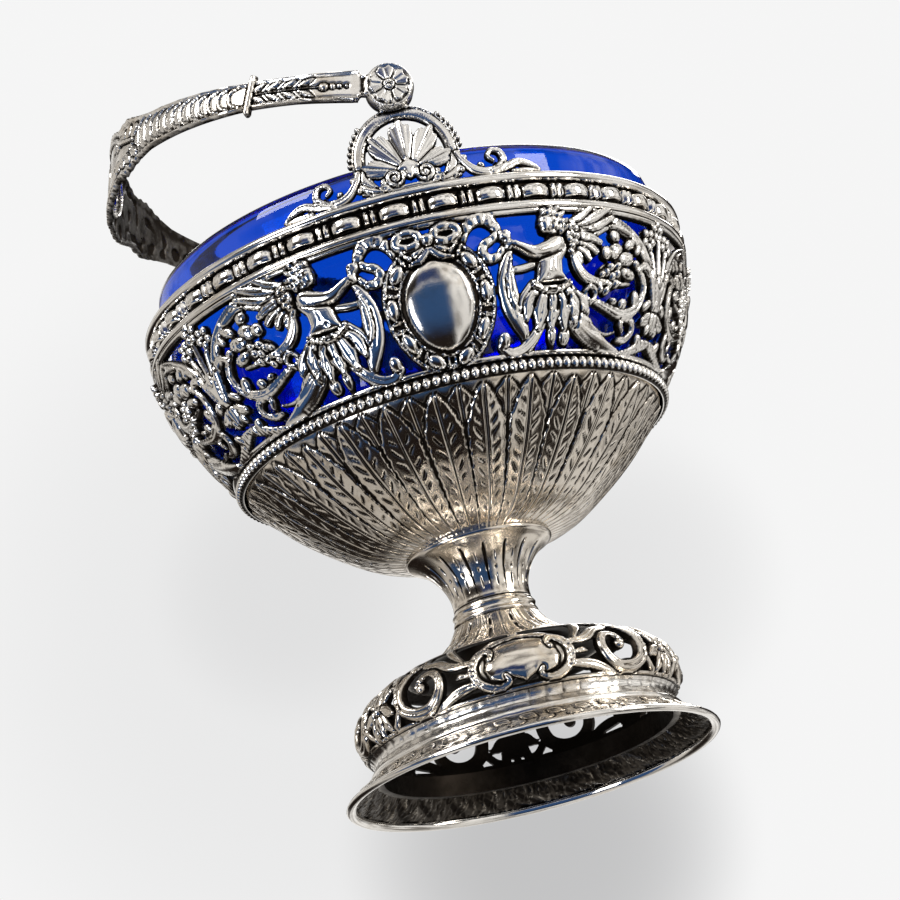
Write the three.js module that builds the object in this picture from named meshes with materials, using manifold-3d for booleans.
// A silver sugar basket on a pierced foot, with a folding bail handle and a lift-out glass liner.
// Millimetres, +Z up. The origin is the centre of the foot, on the surface that it stands on.
// The front is -Y: one handle bracket stands there, the other one opposite, and the hinge runs along Y.
// The handle is folded towards -X, as it lies at rest.
import * as THREE from 'three';
import { mergeGeometries, mergeVertices } from 'three/addons/utils/BufferGeometryUtils.js';
import Module from 'manifold-3d';

const wasm = await Module();
wasm.setup();

// General sizes
const ROUND_STEPS = 48;
const STEM_STEPS = 24;
const JOINT_GAP = 0.3;
const SHEET = 1.1;

// Foot, from the table up
const LIP_RADIUS = 40.9;
const LIP_WIDTH = 2.2;
const LIP_TOP = 1.5;
const SKIRT_HEIGHT = 3.8;
const SKIRT_TOP = LIP_TOP + SKIRT_HEIGHT;
const BAND_RADIUS = 34.3;
const BAND_HEIGHT = 4.7;
const BAND_TOP = SKIRT_TOP + BAND_HEIGHT;
const DOME_RADIUS = BAND_RADIUS + 0.5;
const DOME_HEIGHT = 15.2;
const DOME_TOP = BAND_TOP + DOME_HEIGHT;
const DOME_TOP_RADIUS = 23.2;
const DOME_EDGE = 1.1;
const FOOT_RELIEF = 0.5;

// Stem
const SHOULDER_HEIGHT = 9.2;
const SHOULDER_TOP = DOME_TOP + SHOULDER_HEIGHT;
const STEM_RADIUS = 8.6;
const COLLAR_RADIUS = STEM_RADIUS + 1;
const COLLAR_HEIGHT = 2.6;
const COLLAR_TOP = SHOULDER_TOP + COLLAR_HEIGHT;
const TRUMPET_RADIUS = 16.2;
const TRUMPET_HEIGHT = 14.2;
const TRUMPET_TOP = COLLAR_TOP + TRUMPET_HEIGHT;

// Bowl
const BOWL_BASE_RADIUS = TRUMPET_RADIUS - 0.8;
const BOWL_HEIGHT = 25;
const BOWL_TOP = TRUMPET_TOP + BOWL_HEIGHT;
const BOWL_TOP_RADIUS = 47.2;
const LEAF_COUNT = 24;
const LEAF_GROOVE = 0.4;
const FLOOR_RADIUS = BOWL_BASE_RADIUS - 1.8;
const BEAD_COUNT = 144;
const BEAD_HEIGHT = 2.6;
const BEAD_Z = BOWL_TOP - 0.3 - BEAD_HEIGHT / 2;
const BEAD_STAND = 1.3;

// Pierced gallery round the bowl
const GALLERY_HEIGHT = 28.4;
const GALLERY_TOP = BOWL_TOP + GALLERY_HEIGHT;
const GALLERY_TOP_RADIUS = 59.6;
const GALLERY_RELIEF = 0.5;
const GALLERY_EDGE = 1.1;
const GALLERY_REPEATS = 3;

// Bead and reel moulding at the rim
const RIM_HEIGHT = 8.2;
const RIM_TOP = GALLERY_TOP + RIM_HEIGHT;
const RIM_STAND = 0.7;
const RIM_RADIUS = GALLERY_TOP_RADIUS + RIM_STAND;
const RIM_WALL = 2.7;
const RIM_INNER = RIM_RADIUS - RIM_WALL;
const RIM_BEAD = 2.4;
const RIM_PERIODS = 36;
const RIM_HOLLOW = 1.2;

// Brackets and hinge
const BRACKET_RELIEF = 0.8;
const BRACKET_RADIUS = RIM_RADIUS - 0.1 - BRACKET_RELIEF;
const RING_RADIUS = 9.9;
const RING_WIDTH = 2.1;
const RING_RISE = 7;
const RING_CENTRE = RIM_TOP + RING_RISE;
const NECK_LENGTH = 0.3;
const LUG_RADIUS = 5;
const LUG_FACE = RIM_RADIUS + 0.5;
const PIVOT_Z = RING_CENTRE + RING_RADIUS + NECK_LENGTH + LUG_RADIUS;
const WASHER_RADIUS = 3.4;
const WASHER_THICKNESS = 0.5;
const RIVET_RADIUS = 1.2;
const RIVET_HEAD_RADIUS = 2.3;
const RIVET_HEAD = 0.9;

// Handle
const REST_ANGLE = 75;
const STRAP_THICKNESS = 1.3;
const DISC_RADIUS = LUG_RADIUS + 0.2;
const DISC_THICKNESS = 1.7;
const STRAP_STEPS = 44;
const COLLAR_RIB_ANGLE = 28;
const COLLAR_RIB_WIDTH = 1.5;
const COLLAR_RIB_STAND = 0.7;
const PLAQUE_SPAN = 15;
const PLAQUE_WIDTH = 9;
const PLAQUE_THICKNESS = 0.6;
const ROSETTE_RADIUS = 4.3;
const ROSETTE_THICKNESS = 1.1;

// Glass liner
const LINER_PLAY = 2;
const LINER_RADIUS = RIM_INNER - LINER_PLAY;
const LINER_STAND = 8.8;
const LINER_TOP = RIM_TOP + LINER_STAND;
const LINER_WALL = 2.2;
const LINER_GAP = 0.8;
const FLARE_PLAY = 1.4;
const LINER_STEPS = 36;

const DEG = Math.PI / 180;

const silver = (name) => new THREE.MeshStandardMaterial({
  name,
  color: 0xcfcac0,
  roughness: 0.28,
  metalness: 1,
});
const glass = new THREE.MeshStandardMaterial({
  name: 'cobalt_glass',
  color: 0x0a1fae,
  roughness: 0.05,
  metalness: 0,
  transparent: true,
  opacity: 0.6,
});

const basket = new THREE.Group();
basket.name = 'basket';

// Geometry helpers

// Turns every face of a closed body outwards.
function outward(geometry) {
  const p = geometry.attributes.position;
  const index = geometry.index;
  const [a, b, c] = [new THREE.Vector3(), new THREE.Vector3(), new THREE.Vector3()];
  let volume = 0;
  for (let i = 0; i < index.count; i += 3) {
    a.fromBufferAttribute(p, index.getX(i));
    b.fromBufferAttribute(p, index.getX(i + 1));
    c.fromBufferAttribute(p, index.getX(i + 2));
    volume += a.dot(b.cross(c));
  }
  if (volume < 0) {
    for (let i = 0; i < index.count; i += 3) {
      const first = index.getX(i);
      index.setX(i, index.getX(i + 2));
      index.setX(i + 2, first);
    }
  }
  return geometry;
}

function body(positions, faces) {
  const geometry = new THREE.BufferGeometry();
  geometry.setAttribute('position', new THREE.Float32BufferAttribute(positions.flat(), 3));
  geometry.setIndex(faces.flat());
  return outward(geometry);
}

// Joins rings of points into a closed body. Each ring has the same number of points.
// A closed loft ends where it starts, an open one gets a flat fan over each end ring.
function loft(rings, closed) {
  const n = rings[0].length;
  const positions = rings.flat();
  const faces = [];
  const spans = closed ? rings.length : rings.length - 1;
  for (let i = 0; i < spans; i++) {
    const here = i * n;
    const next = ((i + 1) % rings.length) * n;
    for (let j = 0; j < n; j++) {
      const k = (j + 1) % n;
      faces.push([here + j, next + j, next + k]);
      faces.push([here + j, next + k, here + k]);
    }
  }
  if (!closed) {
    const last = (rings.length - 1) * n;
    for (let j = 1; j < n - 1; j++) {
      faces.push([0, j, j + 1]);
      faces.push([last, last + j + 1, last + j]);
    }
  }
  return body(positions, faces);
}

const onAxisTurn = (radius, angle, z) => [
  radius * Math.sin(angle * DEG),
  -radius * Math.cos(angle * DEG),
  z,
];

// A ring turned about Z. sectionAt gives the closed outline [radius, z] at each of the columns.
function turnedRing(columns, sectionAt) {
  const rings = [];
  for (let i = 0; i < columns; i++) {
    const angle = (360 * i) / columns;
    rings.push(sectionAt(i).map(([radius, z]) => onAxisTurn(radius, angle, z)));
  }
  return loft(rings, true);
}

// A body turned about Z whose outline starts and ends on the axis. grooveAt gives how far
// a point of the outline is drawn in at a column.
function turnedSolid(outline, steps, grooveAt = () => 0) {
  const points = outline.map(([radius, z]) => new THREE.Vector2(radius, z));
  const geometry = new THREE.LatheGeometry(points, steps);
  const position = geometry.attributes.position;
  for (let i = 0; i < position.count; i++) {
    const column = Math.floor(i / points.length);
    const point = i % points.length;
    const share = 1 - grooveAt(column, point) / Math.max(points[point].x, 1);
    position.setX(i, position.getX(i) * share);
    position.setZ(i, position.getZ(i) * share);
  }
  geometry.rotateX(Math.PI / 2);
  geometry.deleteAttribute('uv');
  geometry.deleteAttribute('normal');
  return outward(mergeVertices(geometry, 1e-4));
}

function toManifold(geometry) {
  const plain = geometry.clone();
  plain.deleteAttribute('uv');
  plain.deleteAttribute('normal');
  const merged = mergeVertices(plain, 1e-4);
  return new wasm.Manifold(new wasm.Mesh({
    numProp: 3,
    vertProperties: new Float32Array(merged.attributes.position.array),
    triVerts: new Uint32Array(merged.index.array),
  }));
}

function fromManifold(solid) {
  const mesh = solid.getMesh();
  const geometry = new THREE.BufferGeometry();
  geometry.setAttribute('position', new THREE.Float32BufferAttribute(mesh.vertProperties, 3));
  geometry.setIndex([...mesh.triVerts]);
  return geometry;
}

function joined(geometries) {
  return fromManifold(geometries.map(toManifold).reduce((sum, next) => sum.add(next)));
}

function copiesRound(geometry, count) {
  return Array.from({ length: count }, (_, i) => (
    geometry.clone().rotateZ((2 * Math.PI * i) / count)
  ));
}

function addMesh(parent, name, geometry, material) {
  geometry.computeVertexNormals();
  const mesh = new THREE.Mesh(geometry, material ?? silver(name));
  mesh.name = name;
  parent.add(mesh);
  return mesh;
}

// Outer radius at height z of an outline given as [radius, z] points from the bottom up.
function radiusOf(outline) {
  return (z) => {
    const last = outline.length - 1;
    const i = Math.min(Math.max(outline.findIndex((point) => point[1] > z), 1), last);
    const [r0, z0] = outline[z >= outline[last][1] ? last - 1 : i - 1];
    const [r1, z1] = outline[z >= outline[last][1] ? last : i];
    return r0 + ((r1 - r0) * (z - z0)) / (z1 - z0);
  };
}

// An outline between two levels, from [radius, share of the way up] points.
const between = (low, high, points) => (
  points.map(([radius, share]) => [radius, low + share * (high - low)])
);

// Ornament that lies on a turned surface

// A turned surface on which ornament is drawn with an angle in degrees and a height in mm above
// its lower edge. The drawing is fitted to the surface's own height.
function turnedSurface(outline, meanRadius, drawnHeight) {
  const radiusAt = radiusOf(outline);
  const low = outline[0][1];
  const stretch = (outline.at(-1)[1] - low) / drawnHeight;
  return {
    perDegree: meanRadius * DEG,
    at: (angle, height, lift) => {
      const z = low + height * stretch;
      return onAxisTurn(radiusAt(z) + lift, angle, z);
    },
  };
}

// Flat ornament is drawn in mm along the surface and in height, as prisms of unit thickness.
// A stroke follows a smooth line of [angle, z, width] points. Mirrored by side.
function stroke(surface, points, { steps, closed = false, side = 1 }) {
  const path = new THREE.CatmullRomCurve3(
    points.map(([angle, z, width]) => new THREE.Vector3(angle * surface.perDegree, z, width)),
    closed,
    'centripetal',
  );
  const rings = [];
  const count = closed ? steps : steps + 1;
  for (let i = 0; i < count; i++) {
    const here = path.getPoint(i / steps);
    const along = path.getTangent(i / steps);
    const across = new THREE.Vector2(-along.y, along.x).normalize();
    const corner = (share, level) => [
      side * (here.x + (across.x * share * here.z) / 2),
      here.y + (across.y * share * here.z) / 2,
      level,
    ];
    rings.push([corner(-1, 0), corner(1, 0), corner(1, 1), corner(-1, 1)]);
  }
  return loft(rings, closed);
}

// A flat piece inside an outline of [angle, z] points. Mirrored by side.
function flat(surface, outline, side = 1) {
  const shape = new THREE.Shape(outline.map(([angle, z]) => (
    new THREE.Vector2(side * angle * surface.perDegree, z)
  )));
  return new THREE.ExtrudeGeometry(shape, { depth: 1, bevelEnabled: false });
}

// The loops round a flat body, as lists of [s, z]. The first loop is the outer one.
function loopsOf(solid) {
  const { vertProperties: p, triVerts } = solid.getMesh();
  const edges = new Map();
  for (let i = 0; i < triVerts.length; i += 3) {
    const corners = [...triVerts.slice(i, i + 3)];
    if (corners.some((v) => p[3 * v + 2] > 0.5)) continue;
    corners.forEach((v, k) => {
      const w = corners[(k + 1) % 3];
      if (!edges.delete(`${w} ${v}`)) edges.set(`${v} ${w}`, [v, w]);
    });
  }
  const next = new Map();
  for (const [v, w] of edges.values()) {
    next.set(v, [...(next.get(v) ?? []), w]);
  }
  const loops = [];
  for (const start of next.keys()) {
    while (next.get(start).length) {
      const loop = [];
      let v = start;
      do {
        loop.push(new THREE.Vector2(p[3 * v], p[3 * v + 1]));
        v = next.get(v).pop();
      } while (v !== start);
      loops.push(loop);
    }
  }
  const size = (loop) => Math.abs(THREE.ShapeUtils.area(loop));
  loops.sort((a, b) => size(b) - size(a));
  return THREE.ShapeUtils.isClockWise(loops[0]) ? loops.map((loop) => loop.reverse()) : loops;
}

// Leaves out the points of a loop that lie near a line between those kept, unless keep says so.
function thinned(loop, keep) {
  const TOLERANCE = 0.15;
  const kept = [];
  let passed = [];
  loop.forEach((point, i) => {
    const before = kept.at(-1) ?? loop.at(-1);
    const span = loop[(i + 1) % loop.length].clone().sub(before);
    passed.push(point);
    const offset = Math.max(...passed.map((other) => (
      Math.abs(span.cross(other.clone().sub(before))) / span.length()
    )));
    if (keep(point) || offset > TOLERANCE) {
      kept.push(point);
      passed = [];
    }
  });
  return kept;
}

// Adds points to the long edges of a loop, so that they can bend round the surface.
function divided(loop) {
  const LONGEST = 7;
  return loop.flatMap((point, i) => {
    const next = loop[(i + 1) % loop.length];
    const parts = Math.max(Math.ceil(Math.abs(next.x - point.x) / LONGEST), 1);
    return Array.from({ length: parts }, (_, k) => point.clone().lerp(next, k / parts));
  });
}

// Points on a level or upright edge give way a little, and more the further out they lie.
// Seen from inside the ornament the edge is then hollow, and triangulation keeps all its points.
function yielding(loop) {
  const GIVE = 1e-5;
  const LEVEL = 1e-4;
  return loop.map((point, i) => {
    const before = loop.at(i - 1);
    const after = loop[(i + 1) % loop.length];
    const along = (across, coordinate) => {
      if (Math.abs(after[across] - point[across]) < LEVEL) return after[coordinate] - point[coordinate];
      if (Math.abs(before[across] - point[across]) < LEVEL) return point[coordinate] - before[coordinate];
      return 0;
    };
    return new THREE.Vector2(
      point.x + Math.sign(along('x', 'y')) * GIVE * point.y ** 2,
      point.y - Math.sign(along('y', 'x')) * GIVE * point.x ** 2,
    );
  });
}

// Swaps the diagonals of a flat triangulation for shorter ones, so that none spans a long bend.
function shortened(points, faces) {
  const area = (a, b, c) => points[b].clone().sub(points[a]).cross(points[c].clone().sub(points[a]));
  const length = (a, b) => points[a].distanceTo(points[b]);
  const touched = new Set([0]);
  while (touched.size) {
    touched.clear();
    const across = new Map();
    faces.forEach((face, f) => face.forEach((a, k) => {
      across.set(`${a} ${face[(k + 1) % 3]}`, { f, a, b: face[(k + 1) % 3], tip: face[(k + 2) % 3] });
    }));
    for (const { f, a, b, tip } of across.values()) {
      const other = across.get(`${b} ${a}`);
      if (!other || touched.has(f) || touched.has(other.f)) continue;
      if (length(tip, other.tip) > length(a, b) - 1e-6) continue;
      if (area(tip, a, other.tip) <= 0 || area(other.tip, b, tip) <= 0) continue;
      faces[f] = [tip, a, other.tip];
      faces[other.f] = [other.tip, b, tip];
      touched.add(f).add(other.f);
    }
  }
  return faces;
}

// Joins flat ornament into one pierced sheet, bends it round the surface and repeats it.
// The sheet is cut off at the heights from and to, and is open where it meets its copies.
function bentSheet(surface, pieces, { back, front, from, to, repeats = 1 }) {
  const half = (180 / repeats) * surface.perDegree;
  const span = new THREE.BoxGeometry(2 * half, to - from, 4);
  span.translate(0, (from + to) / 2, 0);
  const solid = pieces.map(toManifold).reduce((sum, next) => sum.add(next))
    .intersect(toManifold(span));
  const onSeam = (point) => repeats > 1 && Math.abs(point.x) > half - 1e-3;
  const SMALLEST_HOLE = 1;
  const loops = loopsOf(solid)
    .filter((loop) => Math.abs(THREE.ShapeUtils.area(loop)) > SMALLEST_HOLE)
    .map((loop) => loop.filter((point, i) => {
      const [before, after] = [loop.at(i - 1), loop[(i + 1) % loop.length]];
      return !(onSeam(point) && Math.abs(before.x - point.x) + Math.abs(after.x - point.x) < 1e-3);
    }))
    .map((loop) => divided(thinned(loop, onSeam)));
  const [outer, ...holes] = loops.map(yielding);
  const points = loops.flat();
  const n = points.length;
  const flatFaces = THREE.ShapeUtils.triangulateShape(outer, holes);
  const faces = shortened([outer, ...holes].flat(), flatFaces)
    .flatMap(([a, b, c]) => [[a, c, b], [n + a, n + b, n + c]]);
  let first = 0;
  for (const loop of loops) {
    loop.forEach((point, i) => {
      const j = (i + 1) % loop.length;
      if (onSeam(point) && onSeam(loop[j])) return;
      faces.push([first + i, first + j, n + first + j]);
      faces.push([first + i, n + first + j, n + first + i]);
    });
    first += loop.length;
  }
  const place = (lift) => points.map(({ x, y }) => surface.at(x / surface.perDegree, y, lift));
  const sheet = new THREE.BufferGeometry();
  const positions = [...place(back), ...place(front)].flat();
  sheet.setAttribute('position', new THREE.Float32BufferAttribute(positions, 3));
  sheet.setIndex(faces.flat());
  return outward(mergeVertices(mergeGeometries(copiesRound(sheet, repeats)), 1e-3));
}

// A plain edge wire for a repeated sheet.
function edgeStrip(surface, from, to, repeats) {
  const half = 180 / repeats + 1;
  return flat(surface, [[-half, from], [half, from], [half, to], [-half, to]]);
}

// A raised plate inside an outline of [angle, z] points, crowned towards its centre.
function plate(surface, outline, centre, { back, front, crown, side = 1, turn = 0 }) {
  const place = ([angle, z], lift) => surface.at(turn + side * angle, z, lift);
  const n = outline.length;
  const positions = [
    ...outline.map((point) => place(point, back)),
    ...outline.map((point) => place(point, front)),
    place(centre, back),
    place(centre, crown),
  ];
  const faces = [];
  for (let i = 0; i < n; i++) {
    const j = (i + 1) % n;
    faces.push([i, j, n + j], [i, n + j, n + i]);
    faces.push([n + i, n + j, 2 * n + 1]);
    faces.push([j, i, 2 * n]);
  }
  return body(positions, faces);
}

function oval([angle, z], halfAngle, halfHeight, count) {
  return Array.from({ length: count }, (_, i) => {
    const t = (2 * Math.PI * i) / count;
    return [angle + halfAngle * Math.cos(t), z + halfHeight * Math.sin(t)];
  });
}

// Foot

const domeOutline = between(BAND_TOP, DOME_TOP, [
  [BAND_RADIUS - 0.7, 0],
  [DOME_RADIUS - 0.2, 0.16],
  [DOME_RADIUS, 0.26],
  [DOME_RADIUS - 0.3, 0.43],
  [DOME_RADIUS - 1.2, 0.57],
  [DOME_RADIUS - 3.8, 0.74],
  [DOME_RADIUS - 7.4, 0.89],
  [DOME_TOP_RADIUS, 1],
]);
const FOOT_DRAWN = 15.2;
const footSurface = turnedSurface(domeOutline, DOME_RADIUS, FOOT_DRAWN);

function footLip() {
  return turnedRing(ROUND_STEPS, () => [
    [LIP_RADIUS - LIP_WIDTH + 0.3, 0],
    [LIP_RADIUS - 0.5, 0],
    [LIP_RADIUS, LIP_TOP / 2],
    [LIP_RADIUS - 0.5, LIP_TOP],
    [LIP_RADIUS - LIP_WIDTH, LIP_TOP],
  ]);
}

// The flared skirt, with a leaf on every second column standing a little proud.
function footSkirt() {
  const top = BAND_RADIUS + 0.1;
  const bottom = LIP_RADIUS - 0.6;
  return turnedRing(ROUND_STEPS, (i) => {
    const leaf = i % 2 ? LEAF_GROOVE : 0;
    return [
      [bottom - SHEET - 0.3, LIP_TOP],
      [bottom, LIP_TOP],
      [(top + bottom) / 2 - 0.6 - leaf, (LIP_TOP + SKIRT_TOP) / 2],
      [top, SKIRT_TOP],
      [top - SHEET - 0.3, SKIRT_TOP],
    ];
  });
}

function footBand() {
  const inner = BAND_RADIUS - 2.6;
  return turnedRing(ROUND_STEPS, () => [
    [inner, SKIRT_TOP],
    [BAND_RADIUS, SKIRT_TOP],
    [BAND_RADIUS, SKIRT_TOP + 0.9],
    [BAND_RADIUS - 1.6, SKIRT_TOP + 2],
    [BAND_RADIUS - 0.7, BAND_TOP],
    [inner, BAND_TOP],
  ]);
}

// One sixth of the pierced foot: half a shield's frame, a scroll and half a leaf flower.
function footOrnament(side) {
  const line = (points, steps) => stroke(footSurface, points, { steps, side });
  return [
    line([[0, 11.8, 2], [6, 12.6, 1.8], [12, 10.2, 1.4]], 2),
    line([[3, 2, 1.4], [9, 1, 1.6], [14.5, 2, 1.8], [17.4, 5.2, 2], [16.6, 8.3, 1.8],
      [13.6, 10, 1.5], [10.6, 8.8, 1.2]], 7),
    line([[17, 5, 1.6], [22, 6.8, 1.5], [29, 9.4, 1.8], [38, 11.6, 1.4]], 3),
    line([[17, 3.6, 1.2], [24, 2.7, 2], [31, 0.8, 1.2]], 3),
    line([[38, 11.6, 1.4], [46.4, 10, 2], [47, 6, 2.2], [42.8, 2.6, 2.4], [36, 2, 2.4],
      [31, 4.6, 2.2], [31.4, 7.6, 2], [35.6, 8.5, 1.8], [38.4, 6.4, 2]], 10),
    line([[36, 11.4, 1.4], [31, FOOT_DRAWN - 0.6, 1.8]], 1),
    line([[60, 6.6, 3], [55.6, 4.6, 3.4], [50, 1, 1.6]], 3),
    line([[46.6, 8, 1.2], [53, 8.6, 2.2], [60, 7, 1.6]], 2),
  ];
}

// The bulging foot, pierced all round, between a lower and an upper edge wire.
function footGallery() {
  const repeats = GALLERY_REPEATS;
  const flower = (side) => [
    stroke(footSurface, [[60, 5, 1.6], [60, 11.4, 3.4], [60, FOOT_DRAWN - 0.6, 1]],
      { steps: 2, side }),
  ];
  return bentSheet(footSurface, [
    edgeStrip(footSurface, 0, DOME_EDGE, repeats),
    edgeStrip(footSurface, FOOT_DRAWN - DOME_EDGE, FOOT_DRAWN, repeats),
    flat(footSurface, [[14, 7], [12, 10], [6, 10.6], [0, 11.6], [-6, 10.6], [-12, 10],
      [-14, 7], [-11.6, 3.4], [-5, 2.6], [0, 1.2], [5, 2.6], [11.6, 3.4]]),
    stroke(footSurface, [[0, 11, 2], [0, FOOT_DRAWN - 0.6, 3]], { steps: 1 }),
    ...[1, -1].flatMap((side) => [...flower(side), ...footOrnament(side)]),
  ], { back: -SHEET, front: FOOT_RELIEF, from: 0, to: FOOT_DRAWN, repeats });
}

function footShoulder() {
  const outline = between(DOME_TOP, SHOULDER_TOP, [
    [DOME_TOP_RADIUS - 0.8, 0],
    [(DOME_TOP_RADIUS + COLLAR_RADIUS) / 2, 0.24],
    [COLLAR_RADIUS + 2, 0.56],
    [COLLAR_RADIUS - 0.4, 1],
  ]);
  return turnedRing(STEM_STEPS, (i) => {
    const leaf = i % 2 ? LEAF_GROOVE : 0;
    const outer = outline.map(([radius, z], k) => [radius - (k % 3 ? leaf : 0), z]);
    const inner = outline.map(([radius, z]) => [radius - 1.6, z]);
    return [...outer, ...inner.reverse()];
  });
}

// Stem

function stemCollar() {
  const groove = (COLLAR_TOP + SHOULDER_TOP) / 2;
  return turnedRing(STEM_STEPS, () => [
    [STEM_RADIUS - SHEET, SHOULDER_TOP],
    [COLLAR_RADIUS - 0.3, SHOULDER_TOP],
    [COLLAR_RADIUS, SHOULDER_TOP + 0.6],
    [COLLAR_RADIUS - 0.6, groove],
    [COLLAR_RADIUS, COLLAR_TOP - 0.6],
    [COLLAR_RADIUS - 0.3, COLLAR_TOP],
    [STEM_RADIUS - SHEET, COLLAR_TOP],
  ]);
}

function stemTrumpet() {
  const flare = TRUMPET_RADIUS - STEM_RADIUS;
  const outline = between(COLLAR_TOP, TRUMPET_TOP, [
    [STEM_RADIUS + 0.1, 0],
    [STEM_RADIUS, 0.25],
    [STEM_RADIUS + 0.17 * flare, 0.48],
    [STEM_RADIUS + 0.5 * flare, 0.69],
    [TRUMPET_RADIUS - 1, 0.87],
    [TRUMPET_RADIUS, 0.94],
    [TRUMPET_RADIUS - 0.4, 1],
  ]);
  return turnedRing(STEM_STEPS, (i) => {
    const flute = i % 2 ? LEAF_GROOVE / 2 : 0;
    const outer = outline.map(([radius, z], k) => [radius - (k > 0 && k < 4 ? flute : 0), z]);
    return [
      ...outer,
      [TRUMPET_RADIUS - 3.4, TRUMPET_TOP],
      [TRUMPET_RADIUS - 3.4, TRUMPET_TOP - SHEET],
      [STEM_RADIUS - SHEET, (COLLAR_TOP + TRUMPET_TOP) / 2],
      [STEM_RADIUS - SHEET, COLLAR_TOP],
    ];
  });
}

// Bowl

// The bowl's radius at a share of the way from its base to its top.
const bowlRadius = (share) => BOWL_BASE_RADIUS + share * (BOWL_TOP_RADIUS - BOWL_BASE_RADIUS);

const bowlOutline = between(TRUMPET_TOP, BOWL_TOP, [
  [BOWL_BASE_RADIUS, 0],
  [bowlRadius(0.29), 0.12],
  [bowlRadius(0.503), 0.312],
  [bowlRadius(0.704), 0.528],
  [bowlRadius(0.862), 0.736],
  [BOWL_TOP_RADIUS - 0.6, 0.88],
]);

// The chased bowl: a groove between every two leaves, and a plain neck behind the bead wire.
function bowlShell() {
  const inner = bowlOutline.slice(1).map(([radius, z]) => [radius - SHEET, z + 0.3]).reverse();
  const outline = [
    [0, TRUMPET_TOP],
    ...bowlOutline,
    [BOWL_TOP_RADIUS - 0.3, BOWL_TOP],
    [BOWL_TOP_RADIUS - 0.3 - SHEET, BOWL_TOP],
    ...inner,
    [FLOOR_RADIUS, TRUMPET_TOP + SHEET],
    [0, TRUMPET_TOP + SHEET],
  ];
  const grooved = (column, point) => column % 2 === 1 && point > 1 && point < 6;
  return turnedSolid(outline, LEAF_COUNT * 2, (column, point) => (
    grooved(column, point) ? LEAF_GROOVE : 0
  ));
}

function beadWire() {
  const inner = BOWL_TOP_RADIUS - 0.3 + JOINT_GAP;
  return turnedRing(BEAD_COUNT * 2, (i) => [
    [inner, BEAD_Z - BEAD_HEIGHT / 2],
    [inner + (i % 2 ? 0.5 : BEAD_STAND), BEAD_Z],
    [inner, BEAD_Z + BEAD_HEIGHT / 2],
  ]);
}

// Gallery

const GALLERY_BASE_RADIUS = BOWL_TOP_RADIUS + 0.4;
const GALLERY_FLARE = GALLERY_TOP_RADIUS - GALLERY_BASE_RADIUS;
const galleryOutline = between(BOWL_TOP, GALLERY_TOP, [
  [GALLERY_BASE_RADIUS, 0],
  [GALLERY_BASE_RADIUS + 0.35 * GALLERY_FLARE, 0.24],
  [GALLERY_BASE_RADIUS + 0.667 * GALLERY_FLARE, 0.521],
  [GALLERY_BASE_RADIUS + 0.867 * GALLERY_FLARE, 0.789],
  [GALLERY_TOP_RADIUS, 1],
]);
const GALLERY_DRAWN = 28.4;
const GALLERY_MEAN = GALLERY_BASE_RADIUS + 0.658 * GALLERY_FLARE;
const gallerySurface = turnedSurface(galleryOutline, GALLERY_MEAN, GALLERY_DRAWN);

const CARTOUCHE_UP = 12.1;

// One side of the bow and ribbon over the cartouche.
function ribbon(side) {
  const loop = oval([3.9, 25.8], 2.4, 1.9, 6).map(([angle, z]) => [angle, z, 1.3]);
  return [
    stroke(gallerySurface, loop, { steps: 7, closed: true, side }),
    stroke(gallerySurface, [[5.4, 25.2, 1.5], [8.6, 27.8, 1.6], [12.4, 28, 1.6],
      [14.6, 25.4, 1.6], [11.6, 22, 1.5], [11.8, 19.4, 1.5], [15.2, 20.4, 1.4]],
    { steps: 9, side }),
  ];
}

// The winged half figure that faces the cartouche, from its head down to its leaf skirt.
function figure(side) {
  const line = (points, steps) => stroke(gallerySurface, points, { steps, side });
  const piece = (outline) => flat(gallerySurface, outline, side);
  return [
    piece(oval([26.3, 25.7], 3.3, 3.2, 8)),
    piece([[29.8, 21.4], [27.6, 23.4], [25, 22.8], [23.8, 20.2], [22.4, 16.6], [22, 12.4],
      [28.6, 12.4], [29, 15.8], [30, 18.8]]),
    line([[27, 20.8, 2.8], [22.5, 19.6, 2.4], [16.2, 21.2, 1.8]], 2),
    piece(oval([15.8, 22.4], 1.9, 2, 6)),
    piece([[29.6, 19.2], [33.7, 17.8], [38, 21], [40.6, 24.4], [42.6, 26.8], [42, 28.8],
      [37.6, 27], [36.4, 28.8], [33.6, 26], [29.4, 23.2]]),
    piece([[29.2, 13.2], [33.6, 9.2], [35.6, 6.8], [30.8, 5.8], [29.2, 2.6], [27, 3.8],
      [25.3, 1.2], [23.2, 3.4], [20, 4.6], [17.2, 8.2], [21, 13]]),
    line([[31.6, 7.8, 4.2], [36, 3.6, 4], [43, 1, 3], [48.6, 0.7, 1.2]], 4),
    line([[21.4, 5.8, 2.2], [20.4, 1.8, 2.2], [16, 0.6, 1.9], [12.2, 2, 1.6], [13.8, 3.8, 1.8]], 5),
    line([[15.9, 21.4, 1.4], [14.4, 15.4, 2.8], [15.4, 10.8, 2.6], [18.4, 8.2, 1.6]], 4),
    line([[23, 17.2, 1.8], [15, 16.4, 1.6]], 1),
  ];
}

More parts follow.
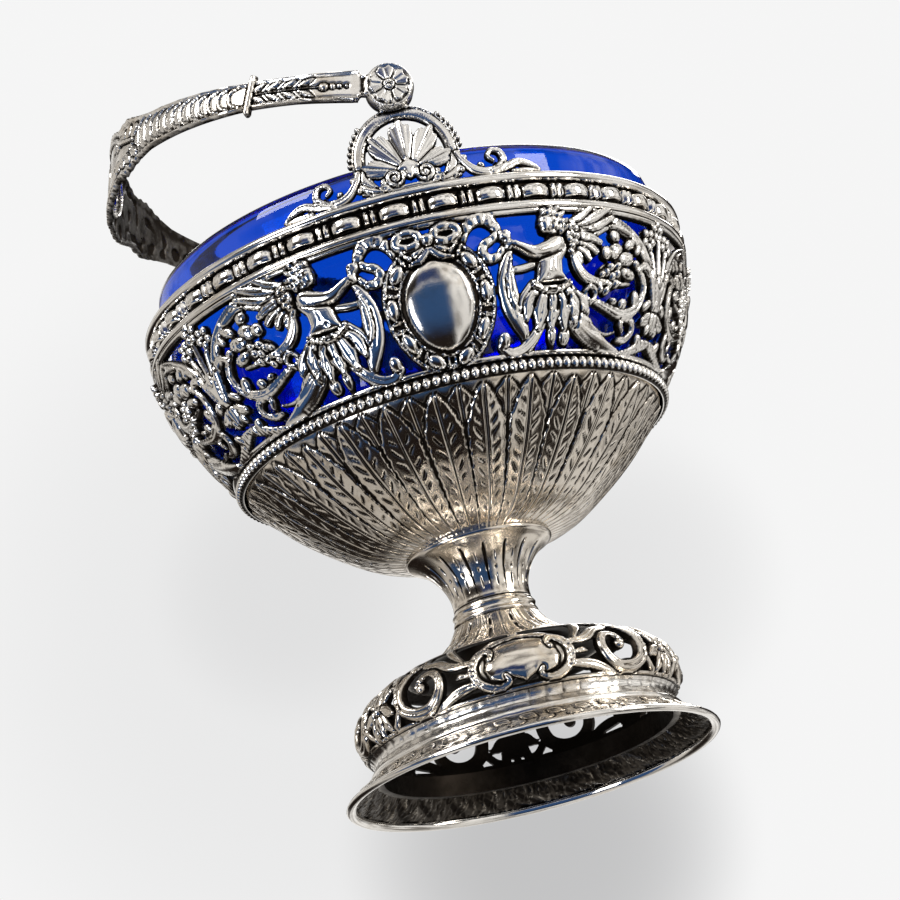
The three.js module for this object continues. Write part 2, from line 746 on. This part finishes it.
// The scrolls, grapes and leaves between the figure and the mirror line of the pattern.
function foliage(side) {
  const line = (points, steps) => stroke(gallerySurface, points, { steps, side });
  const piece = (outline) => flat(gallerySurface, outline, side);
  return [
    line([[30, 11.6, 1.8], [36.7, 9.8, 1.6], [45.8, 8, 2.2], [51, 9, 2], [53.6, 13.2, 1.8],
      [50.2, 17, 1.8]], 8),
    line([[38.4, 9.4, 1.4], [36.8, 12.2, 1.4], [34.6, 11.2, 1.5]], 3),
    piece(oval([41.6, 14.4], 4, 2.9, 8)),
    piece([[50.6, 17.8], [46.8, 21.2], [41.6, 21.4], [39.4, 19], [43, 16.4], [47, 14.8],
      [50.4, 14.4]]),
    line([[31, 18.8, 1.4], [33, 14.6, 2.6], [38.6, 12.8, 1.4]], 3),
    line([[60, 10.4, 3], [58.4, 15.4, 3.2], [54.4, 20.8, 2.2], [49.6, 24.4, 2.2],
      [41, 26.8, 1.6]], 6),
    line([[57.4, 16, 2], [53.4, 18, 2], [51.6, 16.2, 1.6]], 3),
    line([[54.6, 19.8, 1.6], [50.4, 22, 2.6], [43.4, 23.2, 1]], 3),
    line([[60, 9.8, 2.2], [54.4, 11.4, 1.8]], 1),
    line([[60, 3.6, 1.8], [56, 2.8, 2.4], [48.4, 0.7, 1.6]], 3),
    line([[51.8, 1.8, 1.4], [50.6, 5.4, 1.5], [47.4, 6.4, 1.5], [46.8, 4.2, 1.4]], 4),
  ];
}

// The flower head and foot leaves that stand on the mirror line between two cartouches.
function plant(side) {
  const MIDDLE = 60;
  const flowers = [[-4.6, 26.4], [-7.2, 22.6], [-2.2, 22.6]];
  return [
    stroke(gallerySurface, [[MIDDLE, 3.2, 2], [MIDDLE, 7.2, 5], [MIDDLE, 10.8, 3.4],
      [MIDDLE - 0.8, 16, 2.8]], { steps: 4, side }),
    stroke(gallerySurface, [[MIDDLE - 0.8, 16, 2.4], [MIDDLE - 3.4, 20.6, 1.5],
      [MIDDLE - 4.6, 26.4, 1.5]], { steps: 3, side }),
    ...flowers.map(([angle, height]) => (
      flat(gallerySurface, oval([MIDDLE + angle, height], 2.5, 2.1, 8), side)
    )),
  ];
}

function gallery() {
  const repeats = GALLERY_REPEATS;
  const frame = oval([0, CARTOUCHE_UP], 10.4, 11, 12).map(([angle, z]) => [angle, z, 3.6]);
  const sheet = bentSheet(gallerySurface, [
    edgeStrip(gallerySurface, 0, GALLERY_EDGE, repeats),
    edgeStrip(gallerySurface, GALLERY_DRAWN - GALLERY_EDGE, GALLERY_DRAWN, repeats),
    stroke(gallerySurface, frame, { steps: 18, closed: true }),
    flat(gallerySurface, oval([0, 24], 1.6, 1.9, 6)),
    ...[1, -1].flatMap((side) => [
      ...ribbon(side),
      ...figure(side),
      ...foliage(side),
      ...plant(side),
    ]),
  ], { back: -SHEET, front: GALLERY_RELIEF, from: 0, to: GALLERY_DRAWN, repeats });
  const shield = plate(gallerySurface, oval([0, CARTOUCHE_UP], 9.2, 9.8, 14), [0, CARTOUCHE_UP],
    { back: -SHEET + 0.2, front: 0.1, crown: GALLERY_RELIEF + 0.6 });
  return joined([sheet, ...copiesRound(shield, repeats)]);
}

// Bead and reel between two plain fillets: a long bead in each period, and a hollow for the reels.
function rimMoulding() {
  const period = [1, 1, 0.3];
  const middle = (GALLERY_TOP + RIM_TOP) / 2;
  const columns = RIM_PERIODS * period.length;
  return turnedRing(columns, (i) => {
    const stand = RIM_HOLLOW * period[i % period.length];
    return [
      [RIM_INNER, GALLERY_TOP],
      [RIM_RADIUS - 0.2, GALLERY_TOP],
      [RIM_RADIUS - RIM_HOLLOW + stand, middle - RIM_BEAD / 2],
      [RIM_RADIUS - RIM_HOLLOW + stand, middle + RIM_BEAD / 2],
      [RIM_RADIUS, RIM_TOP],
      [RIM_INNER, RIM_TOP],
    ];
  });
}

// Glass liner

function glassLiner() {
  const clearance = SHEET + LINER_GAP;
  const floor = TRUMPET_TOP + SHEET;
  const neck = [BOWL_TOP_RADIUS - 0.3, BOWL_TOP];
  const wall = [bowlOutline[1], bowlOutline[3], neck]
    .map(([radius, z]) => [radius - clearance, z + 0.6]);
  const flare = galleryOutline.slice(1, 3)
    .map(([radius, z]) => [radius - clearance - FLARE_PLAY, z + 0.6]);
  const outer = [
    [FLOOR_RADIUS - 1.2, floor],
    ...wall,
    ...flare,
    [LINER_RADIUS, galleryOutline[3][1] + 1],
    [LINER_RADIUS, LINER_TOP - 0.8],
  ];
  const inner = outer.slice(1, -1).map(([radius, z]) => [radius - LINER_WALL, z + 0.4]).reverse();
  return turnedSolid([
    [0, floor],
    ...outer,
    [LINER_RADIUS - LINER_WALL / 2, LINER_TOP],
    [LINER_RADIUS - LINER_WALL, LINER_TOP - 0.8],
    ...inner,
    [0, floor + LINER_WALL],
  ], LINER_STEPS);
}

// Brackets and hinge pieces, made at the front and turned half round for the back

const BRACKET_HEIGHT = PIVOT_Z - RIM_TOP;
const bracketSurface = turnedSurface([[BRACKET_RADIUS, RIM_TOP], [BRACKET_RADIUS, PIVOT_Z]],
  BRACKET_RADIUS, BRACKET_HEIGHT);
const LUG_BACK = BRACKET_RADIUS - BRACKET_RELIEF;
const DISC_BACK = LUG_FACE + WASHER_THICKNESS;
const DISC_FACE = DISC_BACK + DISC_THICKNESS;
const HOLE_RADIUS = RIVET_RADIUS + JOINT_GAP;

// A round bar or disc along Y, between two distances in front of the basket's axis.
function hingeDisc(radius, from, to, steps) {
  const disc = new THREE.CylinderGeometry(radius, radius, to - from, steps);
  disc.translate(0, -(from + to) / 2, 0);
  return disc;
}

// A body turned about the hinge axis, from [radius, distance in front of the basket's axis].
function hingeTurned(outline, steps) {
  const points = outline.map(([radius, distance]) => new THREE.Vector2(radius, -distance));
  const geometry = new THREE.LatheGeometry(points, steps);
  geometry.deleteAttribute('uv');
  geometry.deleteAttribute('normal');
  return outward(mergeVertices(geometry, 1e-4));
}

// Ornament in mm along and above the top of the rim, turned into the surface's degrees.
const alongRim = (points) => points.map(([s, z, width]) => [s / bracketSurface.perDegree, z, width]);

// The rim bracket: a ring round a palmette and two volutes, a scroll down each side
// and a lug on top for the handle.
function bracket() {
  const line = (points, options) => stroke(bracketSurface, alongRim(points), options);
  const pieces = [];

  const RING_START = -36;
  const RING_POINTS = 12;
  const ring = Array.from({ length: RING_POINTS + 1 }, (_, i) => {
    const t = (RING_START + ((180 - 2 * RING_START) * i) / RING_POINTS) * DEG;
    return [RING_RADIUS * Math.cos(t), RING_RISE + RING_RADIUS * Math.sin(t), RING_WIDTH];
  });
  pieces.push(line(ring, { steps: 15 }));

  const BASE_HEIGHT = 1.8;
  const BASE_HALF = 10.4;
  for (const side of [1, -1]) {
    pieces.push(line([[-0.1, BASE_HEIGHT / 2, BASE_HEIGHT],
      [BASE_HALF, BASE_HEIGHT / 2, BASE_HEIGHT]], { side, steps: 2 }));
  }

  const LOBES = 7;
  const LOBE_STEP = 26;
  const drop = 3.2;
  const reach = RING_RADIUS - RING_WIDTH / 2 + 0.4;
  for (let i = 0; i < LOBES; i++) {
    const t = (90 + (i - (LOBES - 1) / 2) * LOBE_STEP) * DEG;
    const length = drop * Math.sin(t) + Math.sqrt(reach ** 2 - (drop * Math.cos(t)) ** 2);
    const lobe = [[0.08, 0.8], [0.4, 1.6], [0.75, 3], [1, 0.8]].map(([share, width]) => [
      share * length * Math.cos(t),
      RING_RISE - drop + share * length * Math.sin(t),
      width,
    ]);
    pieces.push(line(lobe, { steps: 3 }));
  }

  for (const side of [1, -1]) {
    const volute = oval([3, 3], 1.6, 1.6, 6).map(([s, z]) => [s, z, 1.3]);
    pieces.push(line(volute, { closed: true, side, steps: 7 }));
    pieces.push(line([[RING_RADIUS + 0.9, 5.6, 1.6], [12.4, 2.8, 2], [15, 1.2, 2.2],
      [18.6, 1.7, 2.2], [20, 3.6, 1.9], [18.2, 4.8, 1.6], [17, 3.6, 1.5]], { side, steps: 8 }));
    pieces.push(line([[18.4, 1.3, 1.8], [21.6, 1.2, 2], [24.6, 2.2, 1.9], [27.4, 1.1, 1.2]],
      { side, steps: 4 }));
  }
  pieces.push(line([[0, RING_RISE + RING_RADIUS, 4], [0, BRACKET_HEIGHT - LUG_RADIUS + 1, 3.4]],
    { steps: 1 }));

  const sheet = bentSheet(bracketSurface, pieces, {
    back: -BRACKET_RELIEF,
    front: BRACKET_RELIEF,
    from: 0,
    to: BRACKET_HEIGHT,
  });
  const lug = hingeDisc(LUG_RADIUS, LUG_BACK, LUG_FACE, 20);
  lug.translate(0, 0, PIVOT_Z);
  const drill = hingeDisc(HOLE_RADIUS, LUG_BACK - 1, LUG_FACE + 1, 12);
  drill.translate(0, 0, PIVOT_Z);
  return fromManifold(toManifold(joined([sheet, lug])).subtract(toManifold(drill)));
}

function hingeRivet() {
  const rivet = hingeTurned([
    [0, LUG_BACK - RIVET_HEAD],
    [RIVET_HEAD_RADIUS - 0.6, LUG_BACK - RIVET_HEAD],
    [RIVET_HEAD_RADIUS, LUG_BACK - 0.3],
    [RIVET_HEAD_RADIUS, LUG_BACK],
    [RIVET_RADIUS, LUG_BACK],
    [RIVET_RADIUS, DISC_FACE - JOINT_GAP],
    [0, DISC_FACE - JOINT_GAP],
  ], 12);
  rivet.translate(0, 0, PIVOT_Z);
  return rivet;
}

function hingeWasher() {
  const washer = hingeTurned([
    [HOLE_RADIUS, LUG_FACE],
    [WASHER_RADIUS, LUG_FACE],
    [WASHER_RADIUS, DISC_BACK],
    [HOLE_RADIUS, DISC_BACK],
    [HOLE_RADIUS, LUG_FACE],
  ], 16);
  washer.translate(0, 0, PIVOT_Z);
  return washer;
}

// Handle, made upright about the hinge axis through its own origin

const STRAP_RADIUS = DISC_BACK;
const STRAP_START = 4.3;

// Half the strap's width at an angle round the bow, from an end (0) to its middle (90).
const strapHalfWidths = [
  [0, 2.6],
  [10, 2.7],
  [COLLAR_RIB_ANGLE, 3.2],
  [45, 3.8],
  [59, 4.6],
  [66, 6.6],
  [71, 6.1],
  [78, 8],
  [90, 8.6],
];

function strapHalfWidth(angle) {
  const folded = Math.min(angle, 180 - angle);
  return radiusOf(strapHalfWidths.map(([at, half]) => [half, at]))(folded);
}

// A closed bow section: rings across the strap at each angle, inner face first.
function bow(from, to, steps, halfWidth, inner, outer, frontShare) {
  const rings = [];
  for (let i = 0; i <= steps; i++) {
    const angle = from + ((to - from) * i) / steps;
    const half = halfWidth(angle);
    const place = (x, radius) => [
      x,
      -radius * Math.cos(angle * DEG),
      radius * Math.sin(angle * DEG),
    ];
    rings.push([
      place(-half, inner),
      place(half, inner),
      place(half * frontShare, outer),
      place(-half * frontShare, outer),
    ]);
  }
  return loft(rings, false);
}

function handleStrap() {
  const outer = STRAP_RADIUS + STRAP_THICKNESS;
  const pieces = [
    bow(STRAP_START, 180 - STRAP_START, STRAP_STEPS, strapHalfWidth, STRAP_RADIUS, outer, 0.9),
  ];
  const ribHalf = (COLLAR_RIB_WIDTH / outer / DEG) / 2;
  const ribEnds = () => strapHalfWidth(COLLAR_RIB_ANGLE) + COLLAR_RIB_STAND / 2;
  for (const angle of [COLLAR_RIB_ANGLE, 180 - COLLAR_RIB_ANGLE]) {
    pieces.push(bow(angle - ribHalf, angle + ribHalf, 1, ribEnds,
      STRAP_RADIUS + STRAP_THICKNESS / 3, outer + COLLAR_RIB_STAND, 0.9));
  }
  const front = hingeDisc(DISC_RADIUS, DISC_BACK, DISC_FACE, 20);
  const back = front.clone().rotateZ(Math.PI);
  const drill = hingeDisc(HOLE_RADIUS, -DISC_FACE - 1, DISC_FACE + 1, 12);
  const whole = [...pieces, front, back].map(toManifold).reduce((sum, next) => sum.add(next));
  return fromManifold(whole.subtract(toManifold(drill)));
}

// The smooth oval plate inside the middle of the handle.
function handlePlaque() {
  const outer = STRAP_RADIUS - JOINT_GAP;
  const half = PLAQUE_SPAN / outer / DEG / 2;
  const width = (angle) => (
    (PLAQUE_WIDTH / 2) * Math.sqrt(Math.max(1 - ((angle - 90) / half) ** 2, 0.04))
  );
  return bow(90 - half, 90 + half, 10, width, outer - PLAQUE_THICKNESS, outer, 1);
}

// A five-petalled flower on the face of the handle's end disc.
function rosette() {
  const PETALS = 5;
  const OUTLINE_POINTS = 30;
  const shape = new THREE.Shape(Array.from({ length: OUTLINE_POINTS }, (_, i) => {
    const t = (2 * Math.PI * i) / OUTLINE_POINTS;
    const radius = ROSETTE_RADIUS * (0.72 + 0.28 * Math.abs(Math.cos((PETALS * t) / 2)));
    return new THREE.Vector2(radius * Math.cos(t), radius * Math.sin(t));
  }));
  const petals = new THREE.ExtrudeGeometry(shape, { depth: ROSETTE_THICKNESS * 0.6, bevelEnabled: false });
  petals.rotateX(Math.PI / 2);
  petals.translate(0, -DISC_FACE, 0);
  const eye = hingeTurned([
    [0, DISC_FACE + ROSETTE_THICKNESS * 0.3],
    [1.4, DISC_FACE + ROSETTE_THICKNESS * 0.3],
    [1, DISC_FACE + ROSETTE_THICKNESS],
    [0, DISC_FACE + ROSETTE_THICKNESS + 0.2],
  ], 8);
  return joined([petals, eye]);
}

// Assembly

addMesh(basket, 'foot_lip_wire', footLip());
addMesh(basket, 'foot_skirt', footSkirt());
addMesh(basket, 'foot_band', footBand());
addMesh(basket, 'foot_gallery', footGallery());
addMesh(basket, 'foot_shoulder', footShoulder());
addMesh(basket, 'stem_collar', stemCollar());
addMesh(basket, 'stem_trumpet', stemTrumpet());
addMesh(basket, 'bowl_shell', bowlShell());
addMesh(basket, 'bead_wire', beadWire());
addMesh(basket, 'gallery', gallery());
addMesh(basket, 'rim_moulding', rimMoulding());
addMesh(basket, 'glass_liner', glassLiner(), glass);

for (const [place, turn] of [['front', 0], ['back', Math.PI]]) {
  const end = new THREE.Group();
  end.rotation.z = turn;
  addMesh(end, `bracket_${place}`, bracket());
  addMesh(end, `hinge_rivet_${place}`, hingeRivet());
  addMesh(end, `hinge_washer_${place}`, hingeWasher());
  basket.add(end);
}

const handle = new THREE.Group();
handle.position.z = PIVOT_Z;
handle.rotation.y = -REST_ANGLE * DEG;
addMesh(handle, 'handle_strap', handleStrap());
addMesh(handle, 'handle_plaque', handlePlaque());
for (const [place, turn] of [['front', 0], ['back', Math.PI]]) {
  const flower = addMesh(handle, `rosette_${place}`, rosette());
  flower.rotation.z = turn;
}
basket.add(handle);

export default basket;
